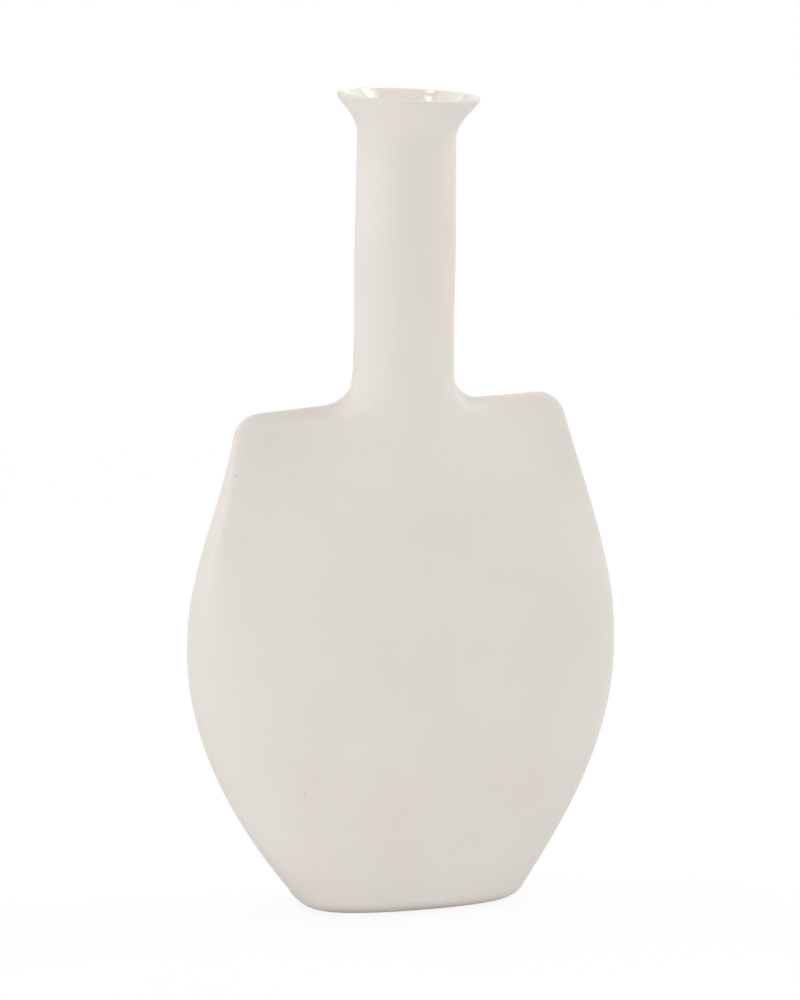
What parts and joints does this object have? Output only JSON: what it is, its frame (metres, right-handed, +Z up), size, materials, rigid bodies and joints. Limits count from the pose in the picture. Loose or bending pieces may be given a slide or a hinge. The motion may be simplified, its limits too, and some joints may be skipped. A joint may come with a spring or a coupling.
{
  "type": "vase",
  "caption": "Tall flattened flask vase with thin pinched shoulders, a long round neck and a flared mouth; stands on its foot and holds water and stems.",
  "frame": {"origin": "on the ground under the middle of the body's width and depth", "axes": "+Z up along the neck, +X along the width towards the side the neck leans to, +Y along the depth towards the back; the front faces -Y"},
  "size_m": [0.2176, 0.072, 0.4017],
  "materials": {
    "clay": "matt warm white, bare to the touch",
    "glaze": "glossy warm white"
  },
  "bodies": {
    "root": {"base_slab": "clay", "front_wall": "clay", "back_wall": "clay", "left_side": "clay", "right_side": "clay", "neck_collar": "clay", "neck_tube": "clay", "lip": "clay", "chamber_glaze": "glaze", "neck_glaze": "glaze", "mouth_glaze": "glaze"}
  },
  "joints": []
}
